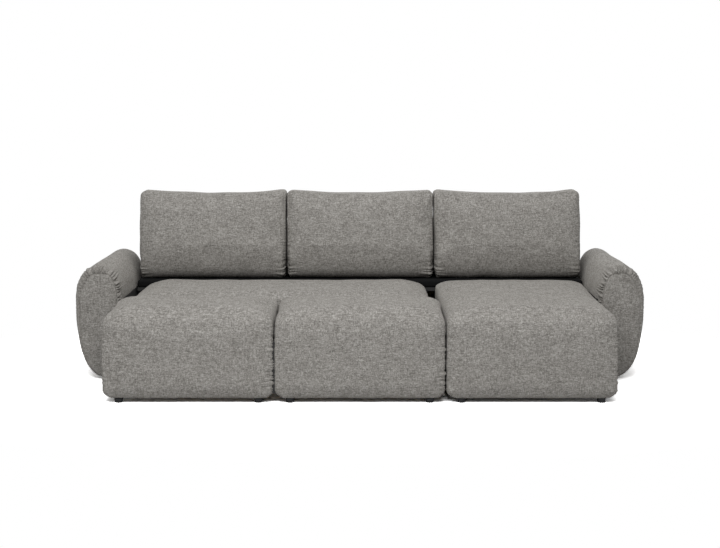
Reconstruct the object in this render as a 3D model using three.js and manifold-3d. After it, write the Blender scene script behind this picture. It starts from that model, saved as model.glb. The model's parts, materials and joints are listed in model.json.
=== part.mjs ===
// Three-seat sleeper sofa with its bed pulled out.
// Millimetres, +Z up, the seat fronts face -Y, and the floor is z = 0.
// Inside this file y runs back from the seat fronts; the whole group is centred at the end.
import * as THREE from 'three';
import Module from 'manifold-3d';
import { mergeVertices } from 'three/addons/utils/BufferGeometryUtils.js';

const wasm = await Module();
wasm.setup();

// Clearances
const seat = 0.3;             // between pieces that touch
const layerGap = 1;           // between linkage plates that slide past each other
const pinPlay = 0.4;          // radial play of a pin in its hole
const overrun = 5;            // how far a cutter passes the face it cuts

// Overall sizes
const seatSpan = 2390;        // across the three seat modules
const moduleGap = 3;          // slit between two modules
const seatHeight = 435;
const blockDepth = 530;       // front to back of a pulled-out seat block
const travelPastDepth = 70;   // how much further than its own depth a seat block steps out
const blockBottom = 22;
const frontCrown = 10;        // swell of a front face
const topCrown = 6;           // swell of a seat's top face

// Upholstery walls
const frontWall = 25;
const sideWall = 14;
const blockPad = 135;         // foam over the deck of a seat block
const shoulderWidth = 90;     // shoulder of a seat along its sides
const shoulderHeight = 78;
const frontRadius = 115;      // waterfall at a seat's front top edge
const rearRadius = 35;
const bottomWidth = 50;       // a block's lower corners, seen from the front
const bottomHeight = 45;
const cornerRadius = 18;      // upright corners of a block at half its height
const rearUndercut = 50;      // a block's rear face leans forward towards its underside
const undercutStart = 35;     // below the top face

// Filler, the section behind the pulled-out blocks
const fillerGap = 5;
const foldedRearGap = 36;      // from a folded seat block to the ledge
const fillerPadThickness = 85;
const fillerRadius = 40;       // its front top edge
const fillerEndRadius = 130;   // how far in its left and right ends begin to fall
const fillerRailHeight = 35;
const fillerRailInset = 20;   // the rails stop short of the filler's front edge
const fillerTopRadius = 58;   // height over which the filler's edges are round
const fillerEarDrop = 50;     // from the rail's lower edge to the ear's hole

// Rear ledge, back and back cushions
const ledgeBoardThickness = 18;
const ledgePadThickness = 42;
const ledgeRadius = 14;
const ledgeDepth = 279;
const backThickness = 135;
const backHeight = 720;
const backBottom = 45;
const backPanelInset = 55;     // behind the back's front face
const backPanelThickness = 30;
const backTopRadius = 50;
const backEndRadius = 20;
const backCoverWall = 25;
const backEndWall = 8;         // the cover goes round the panel's ends
const cushionOverhang = 16;      // how far a cushion's foot stands ahead of the ledge
const cushionBackGap = 13;       // from a cushion's crown to the back's top edge
const cushionHeight = 470;
const cushionThickness = 175;
const cushionCrown = 26;
const cushionEdgeRadius = 30;
const cushionBottomDepth = 125;  // a cushion's front turns under at its foot
const cushionBottomHeight = 165;
const cushionDip = 20;           // the top edge sags between its corners
const cushionSidePull = 3;       // the sides draw in between their corners

// Arms
const armGap = 9;             // between a seat's side and the arm
const armWidth = 222;
const armFrontLead = 12;      // the arm's front stands this far ahead of the folded seats
const armBackInset = 35;      // from the back's rear face
const armRise = 137;          // over the seat
const armBottom = 10;
const armDome = 14;           // swell of the arm's front panel
const armEndRound = 30;
const armPanelThickness = 40;
const armPanelInset = 45;     // from the arm's ends
const armPanelBottom = 40;

// Boards
const boardBottom = 44;
const deckThickness = 12;
const deckInset = 6;          // from the side where two seat blocks meet
const frontBoardThickness = 18;
const footBlockDepth = 30;
const footBlockHeight = 26;
const footBlockHalfWidth = 22;
const chaiseBoard = 22;

// Base rails
const railWidth = 30;
const railBottom = 40;
const railTop = 72;
const railSetback = 30;       // from the rear base pivot to the rail's front end
const postDepth = 40;
const crossRailDepth = 30;
const crossRailFromLedge = 166;

// Linkage
const plate = 4;
const armAngle = 8;            // degrees above level at both ends of the swing
const pivotBelowDeck = 137.7;  // base pivots of the swing arms
const pivotBehindBoard = 21.7; // from the folded front board to the front base pivot
const pivotSpacing = 140;
const swingHalfWidth = 11;
const pinRadius = 6;
const fillerEarInset = 65;     // from the filler's front edge to its front ear
const fillerEarSpacing = 300;
const fillerArmHalfWidth = 11;
const foldClearance = 16.7;    // between the sunk filler and the seat decks
const foldGap = 11.7;          // between the sunk filler and the folded front board
const earRadius = 13;
const bracketNose = 15;
const bracketBelowDeck = 7.7;

// Feet
const footRadius = 22;
const footTaper = 3;
const footInset = 72;          // from a block's side
const footBack = 51;           // from a block's front
const baseFootRadius = 13;
const baseFootSetback = 45;    // from the rail's front end
const rearFootRadius = 14;
const rearFootInset = 140;     // from the back's ends

// Mesh detail
const roundSteps = 3;
const discSides = 12;
const footSides = 16;
const seatFlats = [4, 2, 2];       // grid steps between the rounded edges, along X, Y and Z
const chaiseFlats = [4, 4, 2];
const fillerFlats = [4, 2, 1];
const cushionFlats = [4, 1, 4];
const backFlats = [2, 1, 1];
const ledgeFlats = [1, 1, 1];
const armSides = 36;

// Worked-out sizes
const moduleWidth = (seatSpan - 2 * moduleGap) / 3;
const halfSpan = seatSpan / 2;
const leftEdges = [-halfSpan, -halfSpan + moduleWidth];
const middleEdges = [-moduleWidth / 2, moduleWidth / 2];
const chaiseEdges = [halfSpan - moduleWidth, halfSpan];
const pairEdges = [leftEdges[0], middleEdges[1]];
const pairCentre = (pairEdges[0] + pairEdges[1]) / 2;
const pairHalf = (pairEdges[1] - pairEdges[0]) / 2;
const travel = blockDepth + travelPastDepth;
const padUnderside = seatHeight - blockPad;
const deckTop = padUnderside - seat;
const deckBottom = deckTop - deckThickness;
const fillerFront = blockDepth + fillerGap;
const ledgeFront = travel + blockDepth + foldedRearGap;
const fillerBack = ledgeFront - fillerGap;
const backFront = ledgeFront + ledgeDepth;
const totalDepth = backFront + backThickness;
const backPanelFront = backFront + backPanelInset;
const fillerPadBottom = seatHeight - fillerPadThickness;
const fillerDeckTop = fillerPadBottom - seat;
const fillerRailBottom = fillerDeckTop - fillerRailHeight;
const swingAngle = THREE.MathUtils.degToRad(armAngle);
const swingLength = travel / (2 * Math.cos(swingAngle));
const pivotHeight = deckBottom - pivotBelowDeck;
const seatPivotHeight = pivotHeight + swingLength * Math.sin(swingAngle);
const boardBack = frontWall + seat + frontBoardThickness;
const frontPivotBack = travel + boardBack + pivotBehindBoard;
const fillerPivotHeight = fillerRailBottom - fillerEarDrop;
const fillerDrop = seatHeight - deckBottom + topCrown + foldClearance;
const fillerShift = travel + boardBack + foldGap - fillerFront;
const fillerSweep = 2 * Math.atan2(fillerShift, fillerDrop);
const fillerArmLength = fillerDrop / Math.sin(fillerSweep);
const cushionFoot = seatHeight + seat;
const ledgeBoardTop = seatHeight - ledgePadThickness - seat;
const ledgeBoardBottom = ledgeBoardTop - ledgeBoardThickness;
const ledgeBack = backPanelFront - seat;
const railFront = frontPivotBack + pivotSpacing + railSetback;
const bracketTop = deckBottom - bracketBelowDeck;
const cushionFrontFoot = ledgeFront - cushionOverhang;
const cushionLeanRun = backFront - cushionBackGap - cushionCrown - cushionThickness - cushionFrontFoot;
const cushionLean = cushionLeanRun / (backHeight - backTopRadius - cushionFoot);
const armInner = halfSpan + armGap;
const armOuter = armInner + armWidth;
const armFront = travel - armFrontLead;
const armBack = totalDepth - armBackInset;
const armHeight = seatHeight + armRise;
const armPanelTop = ledgeBoardTop;

// Plates of the linkage, each a layer counted inwards from the outer side of the seat pair
const layerStart = (index) => sideWall + seat + index * (plate + layerGap);
const layers = { carriage: 0, rearArm: 1, frontArm: 2, bracket: 3, fillerArm: 4, fillerRail: 5 };

// Materials
const material = (color, roughness, metalness) => new THREE.MeshStandardMaterial({ color, roughness, metalness });
const fabric = material(0x77746f, 0.95, 0);
const steel = material(0x3a3c3f, 0.45, 0.9);
const zinc = material(0xa8abae, 0.35, 0.95);
const timber = material(0xc2a274, 0.7, 0);
const blackBoard = material(0x1b1b1c, 0.8, 0);
const lining = material(0x161617, 0.95, 0);
const footPlastic = material(0x15151a, 0.5, 0);

const root = new THREE.Group();
const sofa = new THREE.Group();
sofa.position.y = -totalDepth / 2;
root.add(sofa);

function place(name, geometry, look) {
  const mesh = new THREE.Mesh(geometry, look);
  mesh.name = name;
  sofa.add(mesh);
}

// A closed manifold solid from a geometry, and back
function toSolid(geometry) {
  const bare = geometry.clone();
  bare.deleteAttribute('normal');
  bare.deleteAttribute('uv');
  const merged = mergeVertices(bare);
  const vertProperties = new Float32Array(merged.attributes.position.array);
  const triVerts = new Uint32Array(merged.index.array);
  return new wasm.Manifold(new wasm.Mesh({ numProp: 3, vertProperties, triVerts }));
}

function toGeometry(body) {
  const mesh = body.getMesh();
  const geometry = new THREE.BufferGeometry();
  geometry.setAttribute('position', new THREE.BufferAttribute(mesh.vertProperties, 3));
  geometry.setIndex(new THREE.BufferAttribute(mesh.triVerts, 1));
  return geometry;
}

const join = (...geometries) => toGeometry(geometries.map(toSolid).reduce((a, b) => a.add(b)));
const cut = (from, ...cutters) => toGeometry(cutters.map(toSolid).reduce((a, b) => a.subtract(b), toSolid(from)));

// A box between two corners
function slab(low, high) {
  const size = high.map((value, axis) => value - low[axis]);
  const geometry = new THREE.BoxGeometry(...size);
  geometry.translate(...low.map((value, axis) => value + size[axis] / 2));
  return geometry;
}

// A disc or pin along X between two x values, centred at (y, z)
function pinAlongX(x0, x1, y, z, radius) {
  const geometry = new THREE.CylinderGeometry(radius, radius, Math.abs(x1 - x0), discSides);
  geometry.rotateZ(Math.PI / 2);
  geometry.translate((x0 + x1) / 2, y, z);
  return geometry;
}

// A plate in the YZ plane, from an outline of [y, z] points, between two x values
function plateAlongX(x0, x1, outline) {
  const shape = new THREE.Shape(outline.map(([y, z]) => new THREE.Vector2(y, z)));
  const geometry = new THREE.ExtrudeGeometry(shape, { depth: Math.abs(x1 - x0), bevelEnabled: false });
  geometry.rotateY(Math.PI / 2);
  geometry.rotateX(Math.PI / 2);
  geometry.translate(Math.min(x0, x1), 0, 0);
  return geometry;
}

// The two x values of a linkage layer; side is -1 on the left and +1 on the right
function layerX(name, side) {
  const depth = layerStart(layers[name]);
  const x = (d) => pairCentre + side * (pairHalf - d);
  return [x(depth), x(depth + plate)];
}

// A soft box: a grid on a box whose edges are rounded by a radius of their own on each side.
// radii is [[low x, high x], [low y, high y], [low z, high z]], each a number or a function of
// the vertex's step in the grid, given as three values from -1 to 1. swell then moves the point,
// given the point and its place in the box, again from -1 to 1.
function softBox(low, high, radii, flats, swell) {
  const steps = flats.map((count) => count + 2 * roundSteps);
  const geometry = new THREE.BoxGeometry(1, 1, 1, ...steps);
  const position = geometry.attributes.position;
  const value = (radius, at) => (typeof radius === 'function' ? radius(at) : radius);
  for (let i = 0; i < position.count; i++) {
    const index = [0, 1, 2].map((axis) => Math.round((position.getComponent(i, axis) + 0.5) * steps[axis]));
    const at = index.map((n, axis) => 2 * n / steps[axis] - 1);
    const turn = index.map((n, axis) => {
      const fromLow = Math.max(0, roundSteps - n) / roundSteps;
      const fromHigh = Math.max(0, n - steps[axis] + roundSteps) / roundSteps;
      return Math.tan((fromHigh - fromLow) * Math.PI / 4);
    });
    const length = Math.hypot(...turn);
    const point = index.map((n, axis) => {
      const lowRadius = value(radii[axis][0], at);
      const highRadius = value(radii[axis][1], at);
      const between = THREE.MathUtils.clamp((n - roundSteps) / flats[axis], 0, 1);
      const inner = THREE.MathUtils.lerp(low[axis] + lowRadius, high[axis] - highRadius, between);
      return inner + turn[axis] / length * (turn[axis] < 0 ? lowRadius : highRadius);
    });
    const share = point.map((p, axis) => 2 * (p - low[axis]) / (high[axis] - low[axis]) - 1);
    position.setXYZ(i, ...swell(point, share));
  }
  return geometry;
}

// Crown weight, 1 in the middle and 0 at the edges
const crown = (a, b, power) => (1 - Math.abs(a) ** power) * (1 - Math.abs(b) ** power);

// A seat body with a waterfall front, round shoulders and crowned top and front
function seatForm(edges, depth, undercut, flats) {
  const { lerp } = THREE.MathUtils;
  const frontBlend = (at) => lerp(cornerRadius, frontRadius, Math.max(0, at[2]) ** 2);
  const sideBlend = (at) => lerp(cornerRadius, at[2] > 0 ? shoulderWidth : bottomWidth, at[2] ** 2);
  const topBlend = (at) => lerp(shoulderHeight, rearRadius, Math.max(0, at[1]));
  const radii = [[sideBlend, sideBlend], [frontBlend, rearRadius], [bottomHeight, topBlend]];
  const low = [edges[0], frontCrown, blockBottom];
  const high = [edges[1], depth, seatHeight];
  return softBox(low, high, radii, flats, ([x, y, z], at) => {
    const front = Math.max(0, -at[1]) * frontCrown * crown(at[0], at[2], 4);
    const top = Math.max(0, at[2]) * topCrown * crown(at[0], at[1], 4);
    const below = (seatHeight - undercutStart - z) / (seatHeight - undercutStart - padUnderside);
    const lean = undercut * THREE.MathUtils.clamp(below, 0, 1) * Math.max(0, at[1]);
    return [x, y - front - lean, z + top];
  });
}

function seatBlocks() {
  const hollow = (edges, outerSide) => slab(
    [edges[0] + (outerSide < 0 ? sideWall : -overrun), frontWall, blockBottom - overrun],
    [edges[1] - (outerSide > 0 ? sideWall : -overrun), blockDepth + overrun, padUnderside]);
  for (const [name, edges, outerSide] of [['left', leftEdges, -1], ['middle', middleEdges, 1]]) {
    const form = seatForm(edges, blockDepth, rearUndercut, seatFlats);
    place(`${name}_seat_cover`, cut(form, hollow(edges, outerSide)), fabric);
    const deckEdges = [
      edges[0] + (outerSide < 0 ? sideWall + seat : deckInset),
      edges[1] - (outerSide > 0 ? sideWall + seat : deckInset),
    ];
    place(`${name}_seat_deck`, slab(
      [deckEdges[0], frontWall + seat, deckBottom],
      [deckEdges[1], blockDepth - rearUndercut, deckTop]), timber);
    for (const [tag, x] of [['left', edges[0] + footInset], ['right', edges[1] - footInset]]) {
      place(`${name}_seat_foot_${tag}`, foot(x, footBack, blockBottom - seat, footRadius), footPlastic);
    }
  }
}

// A small tapered foot standing on the floor
function foot(x, y, top, radius) {
  const geometry = new THREE.CylinderGeometry(radius, radius - footTaper, top, footSides);
  geometry.rotateX(Math.PI / 2);
  geometry.translate(x, y, top / 2);
  return geometry;
}

// The board behind the two front panels, with the blocks that the front feet screw into
function seatFrontBoard() {
  const x0 = pairEdges[0] + sideWall + seat;
  const x1 = pairEdges[1] - sideWall - seat;
  const top = deckBottom - seat;
  const footPlaces = [leftEdges, middleEdges].flatMap(([left, right]) => [left + footInset, right - footInset]);
  const footBlocks = footPlaces.map((x) => slab(
    [x - footBlockHalfWidth, boardBack - overrun, blockBottom],
    [x + footBlockHalfWidth, boardBack + footBlockDepth, blockBottom + footBlockHeight]));
  place('seat_front_board', join(slab([x0, frontWall + seat, boardBottom], [x1, boardBack, top]), ...footBlocks),
    blackBoard);
}

// Pivot places of the swing arms at rest, as [y, z]
function swingPivots(row) {
  const y = frontPivotBack + (row === 'rear' ? pivotSpacing : 0);
  return { base: [y, pivotHeight], seat: [y - travel / 2, seatPivotHeight] };
}

// A flat link with round ends, as a plate between two points
function link(x0, x1, from, to, halfWidth) {
  const [dy, dz] = [to[0] - from[0], to[1] - from[1]];
  const angle = Math.atan2(dz, dy);
  const outline = [];
  const arc = (centre, start) => {
    for (let i = 0; i <= discSides / 2; i++) {
      const a = start + Math.PI * i / (discSides / 2);
      outline.push([centre[0] + halfWidth * Math.cos(a), centre[1] + halfWidth * Math.sin(a)]);
    }
  };
  arc(from, angle + Math.PI / 2);
  arc(to, angle - Math.PI / 2);
  return plateAlongX(x0, x1, outline);
}

const hole = (x, point) => pinAlongX(x[0] - overrun, x[1] + overrun, ...point, pinRadius + pinPlay);
const orderedX = (pair) => [Math.min(...pair), Math.max(...pair)];

function swingArms(side, sideName) {
  for (const row of ['front', 'rear']) {
    const pivots = swingPivots(row);
    const x = orderedX(layerX(`${row}Arm`, side));
    const bar = link(x[0], x[1], pivots.base, pivots.seat, swingHalfWidth);
    place(`${row}_swing_arm_${sideName}`, cut(bar, hole(x, pivots.base), hole(x, pivots.seat)), steel);
    const bracket = orderedX(layerX('bracket', side));
    const carriage = orderedX(layerX('carriage', side));
    const basePin = side < 0 ? [x[0], bracket[1]] : [bracket[0], x[1]];
    const seatPin = side < 0 ? [carriage[0], x[1]] : [x[0], carriage[1]];
    place(`${row}_base_pin_${sideName}`, pinAlongX(...basePin, ...pivots.base, pinRadius), zinc);
    place(`${row}_seat_pin_${sideName}`, pinAlongX(...seatPin, ...pivots.seat, pinRadius), zinc);
  }
}

// The steel plate inside a block's outer side, which the swing arms carry
function carriagePlate(side, sideName) {
  const x = orderedX(layerX('carriage', side));
  const front = swingPivots('front').seat;
  const rear = swingPivots('rear').seat;
  const low = seatPivotHeight - bracketNose;
  const outline = [
    [boardBack + seat, deckBottom - fillerRailHeight],
    [front[0] - pivotSpacing, deckBottom - fillerRailHeight],
    [front[0] - bracketNose, low],
    [rear[0] + bracketNose, low],
    [rear[0] + bracketNose, deckBottom - seat],
    [boardBack + seat, deckBottom - seat],
  ];
  const body = plateAlongX(x[0], x[1], outline);
  place(`carriage_plate_${sideName}`, cut(body, hole(x, front), hole(x, rear)), steel);
}

// Pivot places of a filler arm at rest, as [y, z]
function fillerPivots(row) {
  const y = fillerFront + fillerEarInset + (row === 'rear' ? fillerEarSpacing : 0);
  return { ear: [y, fillerPivotHeight], base: [y + fillerArmLength, fillerPivotHeight] };
}

// The fixed plate that both pairs of arms hang on
function bracketPlate(side, sideName) {
  const x = orderedX(layerX('bracket', side));
  const nose = swingPivots('front').base;
  const rearSwing = swingPivots('rear').base;
  const rearFiller = fillerPivots('rear').base;
  const frontFiller = fillerPivots('front').base;
  const outline = [
    [nose[0] - bracketNose, nose[1] - bracketNose],
    [railFront + bracketNose, railTop + seat],
    [rearFiller[0] + bracketNose, railTop + seat],
    [rearFiller[0] + bracketNose, bracketTop],
    [frontFiller[0] - 2 * bracketNose, bracketTop],
    [nose[0] - bracketNose, nose[1] + bracketNose],
  ];
  const holes = [nose, rearSwing, frontFiller, rearFiller].map((point) => hole(x, point));
  place(`bracket_plate_${sideName}`, cut(plateAlongX(x[0], x[1], outline), ...holes), steel);
}

// Filler arms, each with a stub pin welded into both ends
function fillerArms(side, sideName) {
  for (const row of ['front', 'rear']) {
    const pivots = fillerPivots(row);
    const x = orderedX(layerX('fillerArm', side));
    const bracket = orderedX(layerX('bracket', side));
    const rail = orderedX(layerX('fillerRail', side));
    const basePin = side < 0 ? [bracket[0], x[1]] : [x[0], bracket[1]];
    const earPin = side < 0 ? [x[0], rail[1]] : [rail[0], x[1]];
    place(`${row}_filler_arm_${sideName}`, join(
      link(x[0], x[1], pivots.base, pivots.ear, fillerArmHalfWidth),
      pinAlongX(...basePin, ...pivots.base, pinRadius),
      pinAlongX(...earPin, ...pivots.ear, pinRadius)), steel);
  }
}

// Filler rail: a flat bar with two ears hanging from it
function fillerRail(side, sideName) {
  const x = orderedX(layerX('fillerRail', side));
  const ears = ['front', 'rear'].map((row) => fillerPivots(row).ear);
  const bar = slab([x[0], fillerFront + fillerRailInset, fillerRailBottom], [x[1], fillerBack, fillerDeckTop]);
  const earPlates = ears.map(([y, z]) => plateAlongX(x[0], x[1], [
    [y - earRadius, z - earRadius],
    [y + earRadius, z - earRadius],
    [y + fillerEarDrop, fillerRailBottom + overrun],
    [y - earRadius, fillerRailBottom + overrun],
  ]));
  place(`filler_rail_${sideName}`, cut(join(bar, ...earPlates), ...ears.map((ear) => hole(x, ear))), steel);
}

function filler() {
  const inner = layerStart(layers.fillerRail) + plate + seat;
  const x0 = pairEdges[0] + inner;
  const x1 = pairEdges[1] - inner;
  place('filler_deck', slab(
    [x0, fillerFront, fillerDeckTop - deckThickness],
    [x1, fillerBack, fillerDeckTop]), timber);
  const endBlend = (at) => THREE.MathUtils.lerp(ledgeRadius, fillerEndRadius, Math.max(0, at[2]));
  const frontBlend = (at) => THREE.MathUtils.lerp(ledgeRadius, fillerRadius, Math.max(0, at[2]));
  const radii = [[endBlend, endBlend], [frontBlend, ledgeRadius], [ledgeRadius, fillerTopRadius]];
  const form = softBox([x0, fillerFront, fillerPadBottom], [x1, fillerBack, seatHeight], radii, fillerFlats,
    ([x, y, z], at) => [x, y, z + Math.max(0, at[2]) * topCrown * crown(at[0], at[1], 6)]);
  place('filler_cover', form, fabric);
}

function chaise() {
  const rear = ledgeFront - fillerGap;
  const form = seatForm(chaiseEdges, rear, 0, chaiseFlats);
  const hollow = slab(
    [chaiseEdges[0] + sideWall, frontWall, blockBottom - overrun],
    [chaiseEdges[1] - sideWall, rear + overrun, padUnderside]);
  place('chaise_cover', cut(form, hollow), fabric);
  const x0 = chaiseEdges[0] + sideWall + seat;
  const x1 = chaiseEdges[1] - sideWall - seat;
  const front = frontWall + seat;
  const top = deckBottom - seat;
  const riser = rear + overrun;
  const board = (low, high) => slab([low[0], low[1], boardBottom], [high[0], high[1], top]);
  const across = (y) => board([x0, y], [x1, y + chaiseBoard]);
  const side = (x) => join(
    board([x, front], [x + chaiseBoard, ledgeBack]),
    slab([x, riser, boardBottom], [x + chaiseBoard, ledgeBack, ledgeBoardBottom - seat]));
  place('chaise_frame', join(side(x0), side(x1 - chaiseBoard), across(front), across(rear / 2),
    across(ledgeBack - chaiseBoard)), blackBoard);
  place('chaise_deck', slab([x0, front, deckBottom], [x1, rear, deckTop]), timber);
  for (const [tag, x] of [['left', chaiseEdges[0] + footInset], ['right', chaiseEdges[1] - footInset]]) {
    place(`chaise_foot_${tag}`, foot(x, footBack, boardBottom - seat, footRadius), footPlastic);
  }
}

// Base: side rails with a post under the ledge, and two cross rails
function base() {
  const inset = layerStart(layers.frontArm);
  const railX = (side) => orderedX([
    pairCentre + side * (pairHalf - inset),
    pairCentre + side * (pairHalf - inset - railWidth),
  ]);
  for (const [side, name] of [[-1, 'left'], [1, 'right']]) {
    const x = railX(side);
    place(`base_rail_${name}`, join(
      slab([x[0], railFront, railBottom], [x[1], ledgeBack, railTop]),
      slab([x[0], backFront - postDepth, railTop - overrun], [x[1], backFront, ledgeBoardBottom - seat])), steel);
    const footX = (x[0] + x[1]) / 2;
    place(`base_foot_${name}`, foot(footX, railFront + baseFootSetback, railBottom - seat, baseFootRadius),
      footPlastic);
  }
  const x0 = railX(-1)[1] + seat;
  const x1 = railX(1)[0] - seat;
  const across = (y) => slab([x0, y, railBottom], [x1, y + crossRailDepth, railTop]);
  place('base_cross_rail_front', across(ledgeFront - crossRailFromLedge), steel);
  place('base_cross_rail_rear', across(ledgeBack - crossRailDepth), steel);
}

function back() {
  const coverEnd = armInner - seat;
  const panelBack = backPanelFront + backPanelThickness;
  const panelTop = backHeight - backCoverWall;
  const panelEnd = coverEnd - backEndWall;
  place('back_panel', slab([-panelEnd, backPanelFront, backBottom], [panelEnd, panelBack, panelTop]), timber);
  const radii = [[backEndRadius, backEndRadius], [backTopRadius, backTopRadius], [backEndRadius, backTopRadius]];
  const form = softBox([-coverEnd, backFront, backBottom], [coverEnd, totalDepth, backHeight], radii, backFlats,
    (point) => point);
  const slot = slab(
    [-panelEnd - seat, backPanelFront - seat, backBottom - overrun],
    [panelEnd + seat, panelBack + seat, panelTop + seat]);
  const underSeat = slab(
    [-coverEnd - overrun, backFront - overrun, backBottom - overrun],
    [coverEnd + overrun, backPanelFront, seatHeight - ledgePadThickness]);
  place('back_cover', cut(form, slot, underSeat), fabric);
  for (const [tag, x] of [['left', -coverEnd + rearFootInset], ['middle', 0], ['right', coverEnd - rearFootInset]]) {
    const y = backPanelFront + backPanelThickness / 2;
    place(`rear_foot_${tag}`, foot(x, y, backBottom - seat, rearFootRadius), footPlastic);
  }
}

function ledge() {
  place('ledge_board', slab([-halfSpan, ledgeFront, ledgeBoardBottom], [halfSpan, ledgeBack, ledgeBoardTop]),
    blackBoard);
  const radii = [[ledgeRadius, ledgeRadius], [ledgeRadius, ledgeRadius], [ledgeRadius, ledgeRadius]];
  place('ledge_pad', softBox(
    [-halfSpan, ledgeFront, ledgeBoardTop + seat], [halfSpan, backFront - seat, seatHeight], radii, ledgeFlats,
    (point) => point), lining);
}

// Section of an arm, as shares of its width from the inner face and of its height
const armSectionShares = [
  [0.42, 0], [0.62, 0.045], [0.80, 0.15], [0.93, 0.31], [1, 0.52], [1, 0.70], [0.94, 0.845], [0.77, 0.955],
  [0.5, 1], [0.23, 0.96], [0.06, 0.85], [0, 0.70], [0, 0.45], [0, 0.2], [0.04, 0.05], [0.2, 0],
];

// An arm's rounded end: how far back and how far in, as shares of its radius
const armEndShares = [[0, 1], [0.12, 0.45], [0.4, 0.12], [1, 0]];

// An arm: the section carried front to back, with rounded ends and a domed front panel
function armCover(side, sideName) {
  const width = armWidth;
  const height = armHeight - armBottom;
  const points = armSectionShares.map(([u, v]) => new THREE.Vector3(
    side * (armInner + u * width), 0, armBottom + v * height));
  const curve = new THREE.CatmullRomCurve3(points, true, 'catmullrom', 0.5);
  const centre = new THREE.Vector3(side * (armInner + width / 2), 0, armBottom + height / 2);
  const stations = [
    ...armEndShares.map(([y, shrink]) => [armFront + armDome + y * armEndRound, shrink * armEndRound]),
    ...armEndShares.toReversed().map(([y, shrink]) => [armBack - y * armEndRound, shrink * armEndRound]),
  ];
  const steps = stations.length - 1;
  const geometry = new THREE.CylinderGeometry(1, 1, 1, armSides, steps);
  const position = geometry.attributes.position;
  const size = new THREE.Vector3(width / 2, 1, height / 2);
  for (let i = 0; i < position.count; i++) {
    const [x, t, z] = [position.getX(i), position.getY(i) + 0.5, position.getZ(i)];
    const row = Math.round(t * steps);
    const onAxis = Math.hypot(x, z) < 0.5;
    const share = Math.round((Math.atan2(x, z) / (2 * Math.PI) + 1) * armSides) / armSides;
    const point = curve.getPoint(share % 1);
    point.x = side * THREE.MathUtils.clamp(side * point.x, armInner, armOuter);
    point.z = THREE.MathUtils.clamp(point.z, armBottom, armHeight);
    const [y, inset] = stations[row];
    const offset = point.sub(centre).multiply(new THREE.Vector3(1 - inset / size.x, 1, 1 - inset / size.z));
    const domed = row === 0 ? y - armDome : y;
    if (onAxis) {
      position.setXYZ(i, centre.x, domed, centre.z);
    } else {
      position.setXYZ(i, centre.x + offset.x, y, centre.z + offset.z);
    }
  }
  const form = side > 0 ? flipped(geometry) : geometry;
  const [low, high] = armPanelBox(side);
  const grown = slab(
    [low[0] - (side < 0 ? seat : overrun), low[1] - seat, low[2] - overrun - armPanelBottom],
    [high[0] + (side > 0 ? seat : overrun), high[1] + seat, high[2] + seat]);
  place(`arm_cover_${sideName}`, cut(form, grown), fabric);
}

// The same surface with its faces turned over
function flipped(geometry) {
  const index = geometry.index.array;
  for (let i = 0; i < index.length; i += 3) {
    [index[i], index[i + 1]] = [index[i + 1], index[i]];
  }
  return geometry;
}

function armPanelBox(side) {
  const x = orderedX([side * (armInner + seat), side * (armInner + armPanelThickness)]);
  return [
    [x[0], armFront + armPanelInset, armPanelBottom],
    [x[1], armBack - armPanelInset, armPanelTop],
  ];
}

function backCushions() {
  const names = ['left', 'middle', 'right'];
  const edges = [leftEdges, middleEdges, chaiseEdges];
  const turnUnder = (at) => THREE.MathUtils.lerp(cushionEdgeRadius, cushionBottomDepth, Math.max(0, -at[2]));
  const footRound = (at) => THREE.MathUtils.lerp(cushionBottomHeight, cushionEdgeRadius, Math.max(0, at[1]));
  const edge = cushionEdgeRadius;
  const radii = [[edge, edge], [turnUnder, edge], [footRound, edge]];
  names.forEach((name, i) => {
    const centre = (edges[i][0] + edges[i][1]) / 2;
    const half = moduleWidth / 2;
    const low = [-half, 0, 0];
    const high = [half, cushionThickness, cushionHeight];
    const form = softBox(low, high, radii, cushionFlats, ([x, y, z], at) => {
      const swell = at[1] * cushionCrown * crown(at[0], at[2], 3);
      const pull = at[0] * cushionSidePull * (1 - at[2] ** 2);
      const dip = Math.max(0, at[2]) * cushionDip * (1 - at[0] ** 2);
      return [x - pull, y + swell + z * cushionLean, z - dip];
    });
    form.translate(centre, cushionFrontFoot, cushionFoot);
    place(`${name}_back_cushion`, form, fabric);
  });
}

seatBlocks();
seatFrontBoard();
filler();
chaise();
base();
back();
ledge();
backCushions();
for (const [side, name] of [[-1, 'left'], [1, 'right']]) {
  swingArms(side, name);
  carriagePlate(side, name);
  bracketPlate(side, name);
  fillerArms(side, name);
  fillerRail(side, name);
  armCover(side, name);
  place(`arm_panel_${name}`, slab(...armPanelBox(side)), blackBoard);
}

export default root;
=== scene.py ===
import json
import math

import bmesh
import bpy
import numpy as np
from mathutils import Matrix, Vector, kdtree

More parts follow.
